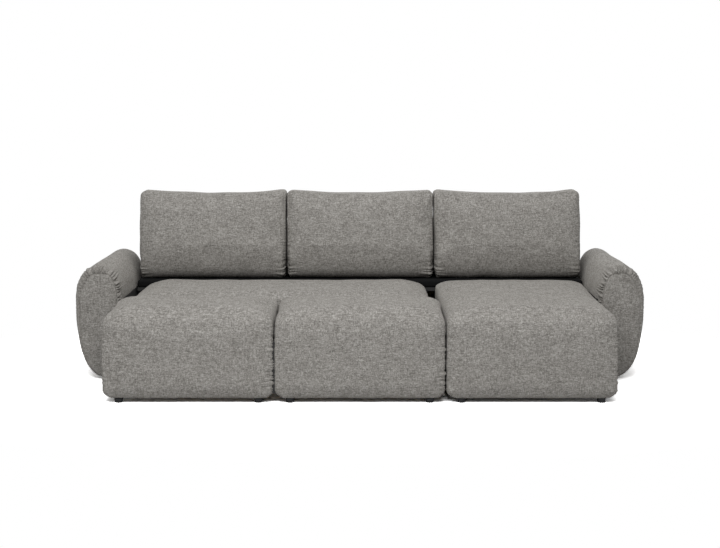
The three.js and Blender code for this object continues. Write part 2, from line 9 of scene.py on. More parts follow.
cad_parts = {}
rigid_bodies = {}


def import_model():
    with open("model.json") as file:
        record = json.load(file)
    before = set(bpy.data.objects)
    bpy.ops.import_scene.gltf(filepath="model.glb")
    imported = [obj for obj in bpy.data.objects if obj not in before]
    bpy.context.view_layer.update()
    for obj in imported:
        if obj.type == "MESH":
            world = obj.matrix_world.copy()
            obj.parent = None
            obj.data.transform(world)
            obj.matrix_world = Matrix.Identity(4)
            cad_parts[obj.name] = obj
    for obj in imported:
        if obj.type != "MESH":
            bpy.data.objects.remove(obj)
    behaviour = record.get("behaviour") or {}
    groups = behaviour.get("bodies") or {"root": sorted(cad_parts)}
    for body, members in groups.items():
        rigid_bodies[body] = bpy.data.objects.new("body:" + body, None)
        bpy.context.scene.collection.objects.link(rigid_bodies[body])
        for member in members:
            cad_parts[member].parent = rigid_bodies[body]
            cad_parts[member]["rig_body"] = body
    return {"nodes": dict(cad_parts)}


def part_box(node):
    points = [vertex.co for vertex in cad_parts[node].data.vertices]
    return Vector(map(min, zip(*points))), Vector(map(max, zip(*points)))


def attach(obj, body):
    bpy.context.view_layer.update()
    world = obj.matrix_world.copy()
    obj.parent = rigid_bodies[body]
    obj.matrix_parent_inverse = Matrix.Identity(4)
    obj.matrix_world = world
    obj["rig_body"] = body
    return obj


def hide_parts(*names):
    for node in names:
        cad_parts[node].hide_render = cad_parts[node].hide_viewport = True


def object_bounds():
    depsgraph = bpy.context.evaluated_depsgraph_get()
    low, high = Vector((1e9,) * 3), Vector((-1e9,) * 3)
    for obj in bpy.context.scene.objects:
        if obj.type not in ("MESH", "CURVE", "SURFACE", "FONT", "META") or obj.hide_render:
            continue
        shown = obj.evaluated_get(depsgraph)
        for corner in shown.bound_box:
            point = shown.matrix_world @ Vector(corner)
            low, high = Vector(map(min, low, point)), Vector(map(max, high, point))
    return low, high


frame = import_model()
cad_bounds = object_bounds()
scene = bpy.context.scene

# The view of the photograph
CAMERA_HEIGHT = 1.4177
CAMERA_TO_SEAT_FRONTS = 6.732
CAMERA_PITCH = 0.1199
CAMERA_LENS = 74.124
CAMERA_SENSOR = 36.0

# Seat blocks. Their forms have the same sizes as the solids.
FRONT_SWELL = 0.010
TOP_SWELL = 0.006
SIDE_WALL = 0.014
FRONT_WALL = 0.046         # of a cover with the board that it is stapled round
SHOULDER_WIDTH = 0.090
SHOULDER_HEIGHT = 0.078
WATERFALL = 0.115
UPRIGHT_CORNER = 0.018
REAR_EDGE = 0.035
BOTTOM_WIDTH = 0.050
BOTTOM_HEIGHT = 0.045
PAD_THICKNESS = 0.135
REAR_UNDERCUT = 0.050
UNDERCUT_START = 0.035     # below the top
SLIT = 0.0014              # by which a side that faces another seat draws in

# Fits
OVERRUN = 0.005            # how far a cutter passes the face it cuts
SLACK = 0.0003             # between a cover and the board in it

# Cloth simulation
CLOTH_FRAMES = 20
CLOTH_PRESSURE = 4.0
CLOTH_STIFFNESS = 15.0
CLOTH_BENDING = 0.3
CLOTH_CAP = 0.006          # how far a seat's fabric may move
CUSHION_CLOTH_CAP = 0.014
CUSHION_CLOTH_SLACK = 0.01   # share by which a cushion's fabric is wider than its form

# Gathers along a seam: a groove, and puckers with their pitch, depth and reach
GROOVE_WIDTH = 0.003
PUCKER_LIMIT = 2.2         # the puckers are cut off at so many times the longest reach
SEAT_GROOVE = 0.003
SEAT_PUCKERS = [(0.034, 0.0070, 0.062), (0.0145, 0.0062, 0.026)]
SEAT_REFINED = (0.075, 0.036)
CUSHION_GROOVE = 0.0025
CUSHION_PUCKERS = (0.021, 0.0075, 0.027)
CUSHION_FOOT_PUCKERS = (0.021, 0.0160, 0.058)
CUSHION_REFINED = 0.050
ARM_GROOVE = 0.005
ARM_PUCKERS = [(0.034, 0.005, 0.085), (0.0170, 0.0165, 0.105)]

# Meshes
TURNS = 4                  # grid steps in half a rounded edge, before the subdivision
FINE_LEVELS = 2
THINNED = 0.5              # share of the faces that stays


# Mesh helpers

def box_grid(steps):
    """Grid places (i, j, k) of a box's surface vertices, and the four vertices of each face."""
    quads = []
    for axis in range(3):
        u, v = (axis + 1) % 3, (axis + 2) % 3
        a, b = np.meshgrid(np.arange(steps[u]), np.arange(steps[v]), indexing="ij")
        low_face, high_face = ((0, 0), (0, 1), (1, 1), (1, 0)), ((0, 0), (1, 0), (1, 1), (0, 1))
        for end, winding in ((0, low_face), (steps[axis], high_face)):
            corners = np.zeros((a.size, 4, 3), int)
            corners[:, :, axis] = end
            for n, (du, dv) in enumerate(winding):
                corners[:, n, u] = a.ravel() + du
                corners[:, n, v] = b.ravel() + dv
            quads.append(corners)
    quads = np.concatenate(quads)
    row, layer = steps[2] + 1, (steps[1] + 1) * (steps[2] + 1)
    codes = quads[..., 0] * layer + quads[..., 1] * row + quads[..., 2]
    unique, faces = np.unique(codes, return_inverse=True)
    places = np.stack([unique // layer, unique % layer // row, unique % row], 1)
    return places, faces.reshape(-1, 4)


def soft_box(low, high, radii, cells, shape, ease=(0, 0, 0)):
    """A box with rounded edges. radii gives a radius for the low and high side of each axis, a number or
    a function of the grid places from -1 to 1. shape moves the points, given their place in the box from
    -1 to 1. ease draws the cells of an axis together towards both ends."""
    steps = [c + 2 * TURNS for c in cells]
    places, faces = box_grid(steps)
    count = np.array(cells)
    turn = np.clip(places - count - TURNS, 0, None) - np.clip(TURNS - places, 0, None)
    turn = np.tan(turn / TURNS * math.pi / 4)
    turn /= np.linalg.norm(turn, axis=1)[:, None]
    between = np.clip((places - TURNS) / count, 0, 1)
    between += np.array(ease) * (0.5 - 0.5 * np.cos(between * math.pi) - between)
    grid = 2 * places / np.array(steps) - 1
    points = np.zeros(places.shape)
    for axis in range(3):
        at_low, at_high = [r(grid) if callable(r) else r for r in radii[axis]]
        inner_low, inner_high = low[axis] + at_low, high[axis] - at_high
        radius = np.where(turn[:, axis] < 0, at_low, at_high)
        points[:, axis] = inner_low + (inner_high - inner_low) * between[:, axis] + turn[:, axis] * radius
    at = 2 * (points - low) / (np.array(high) - low) - 1
    return shape(points, at), faces, places, steps


def make_object(name, points, faces):
    mesh = bpy.data.meshes.new(name)
    mesh.from_pydata([tuple(p) for p in points], [], [tuple(f) for f in faces])
    mesh.validate()
    made = bpy.data.objects.new(name, mesh)
    scene.collection.objects.link(made)
    return made


def get_points(mesh):
    values = np.zeros(len(mesh.vertices) * 3)
    mesh.vertices.foreach_get("co", values)
    return values.reshape(-1, 3)


def set_points(mesh, points):
    mesh.vertices.foreach_set("co", points.ravel())
    mesh.update()


def get_normals(mesh):
    values = np.zeros(len(mesh.vertices) * 3)
    mesh.vertex_normals.foreach_get("vector", values)
    return values.reshape(-1, 3)


def apply_modifiers(piece):
    """Puts the result of a piece's modifiers into its mesh."""
    seen = piece.evaluated_get(bpy.context.evaluated_depsgraph_get())
    mesh = bpy.data.meshes.new_from_object(seen)
    piece.modifiers.clear()
    old = piece.data
    piece.data = mesh
    bpy.data.meshes.remove(old)


def subdivide(piece, levels=FINE_LEVELS):
    modifier = piece.modifiers.new("fine", "SUBSURF")
    modifier.levels = modifier.render_levels = levels
    apply_modifiers(piece)


def refine(piece, seams, reach):
    """Halves the edges that lie near seams."""
    points = get_points(piece.data)
    near = np.zeros(len(points), bool)
    for seam in seams:
        near |= from_seam(points, seam, reach)[0] < reach
    grid = bmesh.new()
    grid.from_mesh(piece.data)
    edges = [e for e in grid.edges if near[e.verts[0].index] and near[e.verts[1].index]]
    bmesh.ops.subdivide_edges(grid, edges=edges, cuts=1, use_grid_fill=True)
    grid.to_mesh(piece.data)
    grid.free()


def thin_out(piece, ratio):
    """Drops the faces that flat stretches don't need."""
    modifier = piece.modifiers.new("thin", "DECIMATE")
    modifier.ratio = ratio
    apply_modifiers(piece)


def cut_box(piece, low, high):
    """Takes a box out of a piece."""
    corners = [(x, y, z) for x in (low[0], high[0]) for y in (low[1], high[1]) for z in (low[2], high[2])]
    sides = [(0, 1, 3, 2), (4, 6, 7, 5), (0, 4, 5, 1), (2, 3, 7, 6), (0, 2, 6, 4), (1, 5, 7, 3)]
    cutter = make_object("cutter", corners, sides)
    modifier = piece.modifiers.new("cut", "BOOLEAN")
    modifier.operation = "DIFFERENCE"
    modifier.solver = "MANIFOLD"
    modifier.object = cutter
    apply_modifiers(piece)
    bpy.data.objects.remove(cutter)


# Shape helpers

def smooth(t):
    t = np.clip(t, 0, 1)
    return t * t * (3 - 2 * t)


def crown(a, b, power):
    return (1 - np.abs(a) ** power) * (1 - np.abs(b) ** power)


def ripple(points, wavelength, seed):
    """Smooth unevenness between about -1 and 1: a sum of waves in seeded directions."""
    random = np.random.RandomState(seed)
    total = np.zeros(len(points))
    for _ in range(9):
        direction = random.normal(size=3)
        direction /= np.linalg.norm(direction)
        length = wavelength * random.uniform(0.7, 1.6)
        total += np.sin(points @ direction * 2 * math.pi / length + random.uniform(0, 2 * math.pi))
    return total / 4


def seam_line(points, spacing=0.002):
    """A seam through points, evened out: its points, directions, lengths from its start and search tree."""
    points = np.array(points)
    run = np.concatenate([[0], np.cumsum(np.linalg.norm(np.diff(points, axis=0), axis=1))])
    even = np.arange(0, run[-1], spacing)
    line = np.stack([np.interp(even, run, points[:, axis]) for axis in range(3)], 1)
    ahead = np.gradient(line, axis=0)
    ahead /= np.linalg.norm(ahead, axis=1)[:, None]
    tree = kdtree.KDTree(len(line))
    for number, point in enumerate(line):
        tree.insert(point, number)
    tree.balance()
    return line, ahead, even, tree


def from_seam(points, seam, reach):
    """Each point's distance from a seam and its length along it; distance is reach when it is further."""
    line, ahead, even, tree = seam
    distance = np.full(len(points), reach)
    along = np.zeros(len(points))
    near = np.flatnonzero(np.all((points > line.min(0) - reach) & (points < line.max(0) + reach), axis=1))
    nearest = np.array([tree.find(point)[1] for point in points[near]], int)
    step = points[near] - line[nearest]
    slide = np.sum(step * ahead[nearest], 1)
    distance[near] = np.minimum(reach, np.sqrt(np.maximum(0, np.sum(step * step, 1) - slide ** 2)))
    along[near] = even[nearest] + slide
    return distance, along


def gather(piece, seam, puckers, groove, seed, weakest=0.35, sink=0.55, sharpness=0.6, start=0.004):
    """Draws the fabric in along a seam: a groove, and puckers of uneven length that fade out. A set of
    puckers is its pitch, depth, reach and a weight, which is a function of the points. sink is the share
    of the depth by which they lie under the face, and start how far from the seam they reach their
    height. A lower sharpness leaves narrower creases between rounder ridges."""
    random = np.random.RandomState(seed)
    points, normals = get_points(piece.data), get_normals(piece.data)
    limit = PUCKER_LIMIT * max(reach for _, _, reach, _ in puckers)
    distance, along = from_seam(points, seam, limit)
    lift = -groove * np.exp(-(distance / GROOVE_WIDTH) ** 2)
    for pitch, depth, reach, weight in puckers:
        wobble = 0.32 * np.sin(along / pitch * 1.7 + 2) + 0.25 * np.sin(along / pitch * 0.61 + 5)
        drift = 0.35 * np.sin(along / pitch * 0.9 + seed) * distance / reach
        phase = along / pitch + wobble + drift
        pucker = np.floor(phase).astype(int)
        pucker -= pucker.min()
        strengths = random.uniform(weakest, 1, pucker.max() + 2)
        lengths = random.uniform(0.5, 1.15, pucker.max() + 2) * reach
        ridge = np.abs(np.sin(phase * math.pi)) ** sharpness * strengths[pucker]
        rise = smooth(distance / start) * np.exp(-(distance / lengths[pucker]) ** 2)
        lift += depth * (ridge - sink) * rise * weight(points)
    lift[distance >= limit] = 0
    set_points(piece.data, points + normals * lift[:, None])


def unsettle(piece, wavelength, depth, seed):
    """Gives a surface the slight unevenness of a filled cover."""
    points, normals = get_points(piece.data), get_normals(piece.data)
    set_points(piece.data, points + normals * depth * ripple(points, wavelength, seed)[:, None])


def inflate(piece, pinned, cap, slack=0.0):
    """Blows a closed form up as cloth and keeps the result, with no point moved further than cap.
    slack is the share by which the fabric is wider than the form."""
    rest = get_points(piece.data)
    group = piece.vertex_groups.new(name="pinned")
    group.add([int(n) for n in np.flatnonzero(pinned)], 1.0, "REPLACE")
    modifier = piece.modifiers.new("cloth", "CLOTH")
    cloth = modifier.settings
    cloth.use_pressure = True
    cloth.uniform_pressure_force = CLOTH_PRESSURE
    cloth.effector_weights.gravity = 0
    cloth.vertex_group_mass = group.name
    cloth.shrink_min = -slack
    cloth.tension_stiffness = CLOTH_STIFFNESS
    cloth.compression_stiffness = CLOTH_STIFFNESS
    cloth.bending_stiffness = CLOTH_BENDING
    modifier.point_cache.frame_start = 1
    modifier.point_cache.frame_end = CLOTH_FRAMES
    for number in range(1, CLOTH_FRAMES + 1):
        scene.frame_set(number)
    seen = piece.evaluated_get(bpy.context.evaluated_depsgraph_get())
    moved = get_points(seen.data) - rest
    size = np.linalg.norm(moved, axis=1)
    moved *= (np.minimum(size, cap) / np.maximum(size, 1e-9))[:, None]
    piece.modifiers.clear()
    piece.vertex_groups.clear()
    set_points(piece.data, rest + moved)
    scene.frame_set(1)


def dress(piece, node, material, crease=50):
    """Gives a finished piece its material and puts it in the place of its CAD node."""
    piece.data.materials.clear()
    piece.data.materials.append(material)
    piece.data.shade_smooth()
    piece.data.set_sharp_from_angle(angle=math.radians(crease))
    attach(piece, frame["nodes"][node]["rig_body"])
    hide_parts(node)


# Materials

def new_material(name, roughness, metallic=0.0):
    material = bpy.data.materials.new(name)
    material.use_nodes = True
    shader = material.node_tree.nodes["Principled BSDF"]
    shader.inputs["Roughness"].default_value = roughness
    shader.inputs["Metallic"].default_value = metallic
    return material, material.node_tree, shader


def add_node(tree, kind, inputs=(), **settings):
    """A shader node with its settings, its inputs set to values or linked to outputs."""
    node = tree.nodes.new(kind)
    for name, value in settings.items():
        setattr(node, name, value)
    for name, value in dict(inputs).items():
        if isinstance(value, bpy.types.NodeSocket):
            tree.links.new(value, node.inputs[name])
        else:
            node.inputs[name].default_value = value
    return node


def stretched(tree, where, scale):
    """Coordinates with their axes scaled."""
    return add_node(tree, "ShaderNodeVectorMath", {0: where, 1: scale}, operation="MULTIPLY").outputs[0]


def noise(tree, where, scale, detail, roughness=0.5):
    vector = stretched(tree, where, scale)
    return add_node(tree, "ShaderNodeTexNoise", {
        "Vector": vector, "Scale": 1.0, "Detail": detail, "Roughness": roughness}).outputs["Fac"]


def scaled(tree, value, low, high, to_low, to_high):
    return add_node(tree, "ShaderNodeMapRange", {
        "Value": value, "From Min": low, "From Max": high,
        "To Min": to_low, "To Max": to_high}).outputs["Result"]


def added(tree, *values):
    total = values[0]
    for value in values[1:]:
        total = add_node(tree, "ShaderNodeMath", {0: total, 1: value}, operation="ADD").outputs[0]
    return total


def times(tree, a, b):
    return add_node(tree, "ShaderNodeMath", {0: a, 1: b}, operation="MULTIPLY").outputs[0]


def ramp(tree, value, stops):
    node = add_node(tree, "ShaderNodeValToRGB", {"Fac": value})
    elements = node.color_ramp.elements
    while len(elements) < len(stops):
        elements.new(0.5)
    for element, (place, color) in zip(elements, stops):
        element.position = place
        element.color = (*color, 1)
    return node.outputs["Color"]


def mixed(tree, factor, a, b):
    """A number between a and b."""
    return add_node(tree, "ShaderNodeMix", {0: factor, 2: a, 3: b}).outputs[0]


def bumped(tree, shader, height, distance, strength=1.0):
    bump = add_node(tree, "ShaderNodeBump", {"Height": height, "Distance": distance, "Strength": strength})
    tree.links.new(bump.outputs["Normal"], shader.inputs["Normal"])


FABRIC_TONES = [
    (0.0, (0.075, 0.070, 0.063)), (0.32, (0.165, 0.156, 0.142)), (0.5, (0.262, 0.250, 0.232)),
    (0.68, (0.365, 0.352, 0.330)), (1.0, (0.56, 0.545, 0.515))]


def fabric_material():
    """Warm grey melange weave: slubs that lie level on every face, over a fine nubbly yarn."""
    material, tree, shader = new_material("grey_fabric", 0.92)
    shader.inputs["Sheen Weight"].default_value = 0.12
    shader.inputs["Sheen Tint"].default_value = (1.0, 0.95, 0.88, 1)
    shader.inputs["Sheen Roughness"].default_value = 0.5
    shader.inputs["Specular IOR Level"].default_value = 0.2
    where = add_node(tree, "ShaderNodeTexCoord")
    place, normal = where.outputs["Object"], where.outputs["Normal"]
    side = add_node(tree, "ShaderNodeSeparateXYZ", {0: normal}).outputs["X"]
    side = add_node(tree, "ShaderNodeMath", {0: side}, operation="ABSOLUTE").outputs[0]
    side = scaled(tree, side, 0.62, 0.78, 0, 1)

    def weft(along, across, detail):
        level = noise(tree, place, (along, across * 0.35, across), detail, 0.6)
        turned = noise(tree, place, (across, along, across), detail, 0.6)
        return mixed(tree, side, level, turned)

    def warp(along, across, detail):
        level = noise(tree, place, (across, along * 0.5, along), detail, 0.6)
        turned = noise(tree, place, (along, across, along), detail, 0.6)
        return mixed(tree, side, level, turned)

    def yarn(scale):
        cells = add_node(tree, "ShaderNodeTexVoronoi", {
            "Vector": stretched(tree, place, scale), "Scale": 1.0, "Randomness": 0.8})
        tone = add_node(tree, "ShaderNodeSeparateXYZ", {0: cells.outputs["Color"]}).outputs["X"]
        return tone, cells.outputs["Distance"]

    streaks = weft(34, 175, 2)
    columns = warp(46, 160, 2)
    slubs = weft(70, 270, 3)
    ends = warp(70, 290, 3)
    fine = weft(210, 330, 2)
    cloudy = noise(tree, place, (11, 14, 14), 3, 0.6)
    level_tone, level_nub = yarn((235, 390, 390))
    turned_tone, turned_nub = yarn((390, 235, 390))
    tone = mixed(tree, side, level_tone, turned_tone)
    nub = mixed(tree, side, level_nub, turned_nub)
    shade = added(
        tree,
        scaled(tree, streaks, 0.3, 0.7, -0.10, 0.10),
        scaled(tree, columns, 0.3, 0.7, -0.075, 0.075),
        scaled(tree, slubs, 0.3, 0.7, -0.13, 0.13),
        scaled(tree, ends, 0.3, 0.7, -0.11, 0.11),
        scaled(tree, fine, 0.3, 0.7, -0.11, 0.11),
        scaled(tree, tone, 0, 1, -0.12, 0.12),
        scaled(tree, cloudy, 0.3, 0.7, 0.465, 0.535))
    color = ramp(tree, shade, FABRIC_TONES)
    tree.links.new(color, shader.inputs["Base Color"])
    height = added(
        tree,
        scaled(tree, nub, 0, 0.8, 1, 0),
        times(tree, slubs, 0.6),
        times(tree, ends, 0.5),
        times(tree, fine, 0.5))
    bumped(tree, shader, height, 0.0011, 0.8)
    return material


def timber_material():
    """Sawn softwood with grain along the boards."""
    material, tree, shader = new_material("timber", 0.65)
    place = add_node(tree, "ShaderNodeTexCoord").outputs["Object"]
    warp = noise(tree, place, (3, 14, 14), 3)
    rings = add_node(tree, "ShaderNodeTexWave", {
        "Vector": stretched(tree, place, (1.2, 9, 26)), "Scale": 3.0, "Distortion": 6.0, "Detail": 3.0,
        "Detail Scale": 1.5}).outputs["Fac"]
    fibre = noise(tree, place, (12, 420, 420), 2)
    shade = added(tree, times(tree, rings, 0.4), times(tree, warp, 0.35), times(tree, fibre, 0.35))
    color = ramp(tree, shade, [
        (0.25, (0.36, 0.22, 0.10)), (0.6, (0.55, 0.38, 0.20)), (0.9, (0.68, 0.51, 0.30))])
    tree.links.new(color, shader.inputs["Base Color"])
    bumped(tree, shader, shade, 0.0006, 0.5)
    return material


def steel_material():
    """Black powder coat with its orange-peel grain, rubbed a little along."""
    material, tree, shader = new_material("black_steel", 0.5)
    shader.inputs["Specular IOR Level"].default_value = 0.25
    place = add_node(tree, "ShaderNodeTexCoord").outputs["Object"]
    grain = noise(tree, place, (900, 900, 900), 2)
    patches = noise(tree, place, (30, 30, 30), 3)
    color = ramp(tree, patches, [(0.3, (0.009, 0.009, 0.010)), (0.7, (0.019, 0.019, 0.020))])
    tree.links.new(color, shader.inputs["Base Color"])
    tree.links.new(scaled(tree, patches, 0.3, 0.7, 0.46, 0.62), shader.inputs["Roughness"])
    bumped(tree, shader, grain, 0.00012, 0.5)
    return material


def zinc_material():
    """Bright zinc plating with fine turning marks and dull blooms."""
    material, tree, shader = new_material("zinc_pins", 0.3, 1.0)
    place = add_node(tree, "ShaderNodeTexCoord").outputs["Object"]
    blooms = noise(tree, place, (160, 160, 160), 3)
    marks = noise(tree, place, (2500, 60, 60), 1)
    color = ramp(tree, blooms, [(0.3, (0.50, 0.51, 0.53)), (0.7, (0.68, 0.69, 0.70))])
    tree.links.new(color, shader.inputs["Base Color"])
    tree.links.new(scaled(tree, blooms, 0.3, 0.7, 0.24, 0.42), shader.inputs["Roughness"])
    bumped(tree, shader, marks, 0.00008, 0.5)
    return material


def plastic_material():
    """Black moulded plastic with a fine spark-eroded grain and scuffs."""
    material, tree, shader = new_material("foot_plastic", 0.5)
    place = add_node(tree, "ShaderNodeTexCoord").outputs["Object"]
    grain = noise(tree, place, (1400, 1400, 1400), 1)
    scuffs = noise(tree, place, (45, 45, 220), 4)
    color = ramp(tree, scuffs, [(0.35, (0.008, 0.008, 0.009)), (0.75, (0.022, 0.022, 0.024))])
    tree.links.new(color, shader.inputs["Base Color"])
    tree.links.new(scaled(tree, scuffs, 0.3, 0.7, 0.42, 0.62), shader.inputs["Roughness"])
    bumped(tree, shader, grain, 0.0001, 0.6)
    return material


def board_and_painted_shade_material():
    """Particle board stained black, with its chips showing faintly. Its near-black is partly the board's
    stain and partly painted shade, so that the boards seen in the slits and under the seats pass for the
    shade there.
    """
    material, tree, shader = new_material("black_board", 0.75)
    place = add_node(tree, "ShaderNodeTexCoord").outputs["Object"]
    chips = add_node(tree, "ShaderNodeTexVoronoi", {
        "Vector": stretched(tree, place, (240, 300, 260)), "Scale": 1.0}).outputs["Distance"]
    # near-black tones: partly the board's own stain, partly painted shade
    color = ramp(tree, chips, [(0.1, (0.010, 0.010, 0.010)), (0.9, (0.026, 0.025, 0.024))])
    tree.links.new(color, shader.inputs["Base Color"])
    bumped(tree, shader, chips, 0.0003, 0.5)
    return material


def lining_and_painted_shade_material():
    """Black non-woven lining: matt fibres pressed in a fine grid of dots. Its near-black is partly the
    lining's own colour and partly painted shade, darkened so that the lit ledge under the cushions passes
    for the shade there.
    """
    material, tree, shader = new_material("black_lining", 0.95)
    shader.inputs["Specular IOR Level"].default_value = 0.1
    place = add_node(tree, "ShaderNodeTexCoord").outputs["Object"]
    dots = add_node(tree, "ShaderNodeTexVoronoi", {
        "Vector": stretched(tree, place, (420, 420, 420)), "Scale": 1.0,
        "Randomness": 0.0}).outputs["Distance"]
    fibres = noise(tree, place, (300, 300, 300), 4, 0.7)
    # near-black tones: partly the lining's own colour, partly painted shade
    color = ramp(tree, fibres, [(0.3, (0.004, 0.004, 0.0042)), (0.7, (0.011, 0.011, 0.0115))])
    tree.links.new(color, shader.inputs["Base Color"])
    bumped(tree, shader, added(tree, dots, times(tree, fibres, 0.6)), 0.0004, 0.6)
    return material


fabric = fabric_material()
# board and lining are near-black, partly their own colour and partly painted shade
board = board_and_painted_shade_material()
lining = lining_and_painted_shade_material()
timber = timber_material()
steel = steel_material()
zinc = zinc_material()
plastic = plastic_material()


# Seats

def growing(axis, middle, at_low, at_high, power=3):
    """A radius that changes along an axis of the grid, from its middle to its low and high end."""
    def radius(grid):
        place = grid[:, axis]
        return middle + np.where(place < 0, at_low - middle, at_high - middle) * np.abs(place) ** power
    return radius


def grid_row(piece, *parts):
    """The seam through rows of a piece's grid. A part is a choice of vertices and their key for sorting."""
    order = [n for chosen, key in parts for n in np.flatnonzero(chosen)[np.argsort(key[chosen])]]
    return seam_line(get_points(piece.data)[order])


def seat_cover(node, cells, undercut, slits, wrinkles, seed):
    """A seat's cover: waterfall front, round shoulders, crowned top and front, gathered side seams. slits
    and wrinkles are given for its left and right side."""
    low, high = [np.array(corner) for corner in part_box(node)]
    low[1] += FRONT_SWELL
    high[2] -= TOP_SWELL
    sides = growing(2, UPRIGHT_CORNER, BOTTOM_WIDTH, SHOULDER_WIDTH)
    front = growing(2, UPRIGHT_CORNER, UPRIGHT_CORNER, WATERFALL)
    top = growing(1, SHOULDER_HEIGHT, SHOULDER_HEIGHT, REAR_EDGE, 1)

    def shape(points, at):
        swell = crown(at[:, 0], at[:, 2], 4)
        crest = crown(at[:, 0], at[:, 1], 4)
        below = (high[2] - UNDERCUT_START - points[:, 2]) / (PAD_THICKNESS - UNDERCUT_START)
        points[:, 0] -= at[:, 0] * np.where(at[:, 0] < 0, *slits)
        points[:, 1] -= FRONT_SWELL * np.clip(-at[:, 1], 0, 1) * swell
        points[:, 1] -= undercut * smooth(below) * np.clip(at[:, 1], 0, 1)
        points[:, 2] += TOP_SWELL * np.clip(at[:, 2], 0, 1) * crest
        return points

    radii = ((sides, sides), (front, REAR_EDGE), (BOTTOM_HEIGHT, top))
    points, faces, places, steps = soft_box(low, high, radii, cells, shape, ease=(0.6, 0, 0))
    piece = make_object(node.replace("cover", "upholstery"), points, faces)
    x, y, z = places.T
    inflate(piece, (z == 0) | (x == 0) | (x == steps[0]) | (y == steps[1]), CLOTH_CAP)
    seams = []
    front_row, top_row = TURNS // 2, steps[2] - TURNS
    for side in (0, steps[0]):
        panel = (x == side) & (y >= front_row) & (z <= top_row)
        seams.append(grid_row(piece, (panel & (y == front_row), z), (panel & (z == top_row), y)))
    subdivide(piece)
    unsettle(piece, wavelength=0.16, depth=0.0013, seed=seed)
    for reach in SEAT_REFINED:
        refine(piece, seams, reach)

    def upright(strength):
        def weight(points):
            rise = (points[:, 2] - low[2]) / (high[2] - low[2])
            return strength * smooth((0.92 - rise) / 0.25) * (0.35 + 0.65 * smooth(rise / 0.2))
        return weight

    for number, (seam, strength) in enumerate(zip(seams, wrinkles)):
        puckers = [(*sizes, upright(strength)) for sizes in SEAT_PUCKERS]
        gather(piece, seam, puckers, SEAT_GROOVE, seed + number)
    return piece, low, high


def make_seat(node, cells, undercut, open_left, open_right, slits, wrinkles, seed):
    """A seat block's cover, hollow under its pad, and with no wall at a side that is open."""
    piece, low, high = seat_cover(node, cells, undercut, slits, wrinkles, seed)
    thin_out(piece, THINNED)
    left, right = (-OVERRUN if side_open else SIDE_WALL for side_open in (open_left, open_right))
    cut_box(piece, (low[0] + left, low[1] - FRONT_SWELL + FRONT_WALL, low[2] - OVERRUN),
            (high[0] - right, high[1] + OVERRUN, high[2] - PAD_THICKNESS))
    dress(piece, node, fabric)


make_seat("left_seat_cover", (18, 22, 18), REAR_UNDERCUT, False, True, (0, SLIT), (0.4, 1.0), 11)
make_seat("middle_seat_cover", (18, 22, 18), REAR_UNDERCUT, True, False, (SLIT, SLIT), (0.25, 1.0), 23)
make_seat("chaise_cover", (18, 48, 18), 0, False, False, (SLIT, 0), (0.35, 1.0), 37)


# Filler, ledge and back

FILLER_EDGE = 0.014
FILLER_ENDS = (0.060, 0.130)   # how far in its ends begin to fall, at half its height and at the top
FILLER_FRONT = (0.022, 0.040)
FILLER_TOP = 0.058
LEDGE_EDGE = 0.014
BACK_END = 0.020
BACK_FRONT_EDGE = 0.030
BACK_TOP_EDGE = 0.050


def make_filler():
    """The filler section's pad: its two ends fall away in a wide curve."""
    low, high = [np.array(corner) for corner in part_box("filler_cover")]
    high[2] -= TOP_SWELL

    def shape(points, at):
        points[:, 2] += TOP_SWELL * np.clip(at[:, 2], 0, 1) * crown(at[:, 0], at[:, 1], 6)
        return points

    ends = growing(2, FILLER_ENDS[0], FILLER_EDGE, FILLER_ENDS[1], 1)
    front = growing(2, FILLER_FRONT[0], FILLER_EDGE, FILLER_FRONT[1], 1)
    radii = ((ends, ends), (front, FILLER_EDGE), (FILLER_EDGE, FILLER_TOP))
    points, faces, places, steps = soft_box(low, high, radii, (36, 20, 4), shape, ease=(0.6, 0.3, 0))
    piece = make_object("filler_upholstery", points, faces)
    x, y, z = places.T
    inflate(piece, (z == 0) | (x == 0) | (x == steps[0]) | (y == 0) | (y == steps[1]), CLOTH_CAP)
    subdivide(piece)
    unsettle(piece, wavelength=0.18, depth=0.0014, seed=51)
    thin_out(piece, THINNED)
    dress(piece, "filler_cover", fabric)


def make_ledge_pad():
    """The thin pad under the back cushions, slightly uneven on top. It is dressed in the near-black lining,
    which partly stands in as painted shade under the cushions.
    """
    low, high = [np.array(corner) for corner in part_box("ledge_pad")]
    radii = ((LEDGE_EDGE, LEDGE_EDGE),) * 3

    def shape(points, at):
        points[:, 2] -= 0.0015 * (1 + ripple(points, 0.2, 61)) * np.clip(at[:, 2], 0, 1)
        return points

    points, faces, _, _ = soft_box(low, high, radii, (110, 14, 3), shape)
    piece = make_object("ledge_upholstery", points, faces)
    # the lining's near-black is partly painted shade under the cushions
    dress(piece, "ledge_pad", lining)


def make_back():
    """The back's cover, cut out for its panel and over the ledge."""
    low, high = [np.array(corner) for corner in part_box("back_cover")]
    radii = ((BACK_END, BACK_END), (BACK_FRONT_EDGE, BACK_TOP_EDGE), (BACK_END, BACK_TOP_EDGE))

    def shape(points, at):
        points[:, 1] -= 0.0012 * ripple(points, 0.25, 71) * np.sign(at[:, 1])
        return points

    points, faces, _, _ = soft_box(low, high, radii, (110, 6, 36), shape)
    piece = make_object("back_upholstery", points, faces)
    subdivide(piece, 1)
    panel_low, panel_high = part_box("back_panel")
    pad_low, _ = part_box("ledge_pad")
    cut_box(piece, (panel_low.x - SLACK, panel_low.y - SLACK, low[2] - OVERRUN),
            (panel_high.x + SLACK, panel_high.y + SLACK, panel_high.z + SLACK))
    cut_box(piece, (low[0] - OVERRUN, low[1] - OVERRUN, low[2] - OVERRUN),
            (high[0] + OVERRUN, panel_low.y, pad_low.z))
    dress(piece, "back_cover", fabric)


make_filler()
make_ledge_pad()
make_back()


# Back cushions

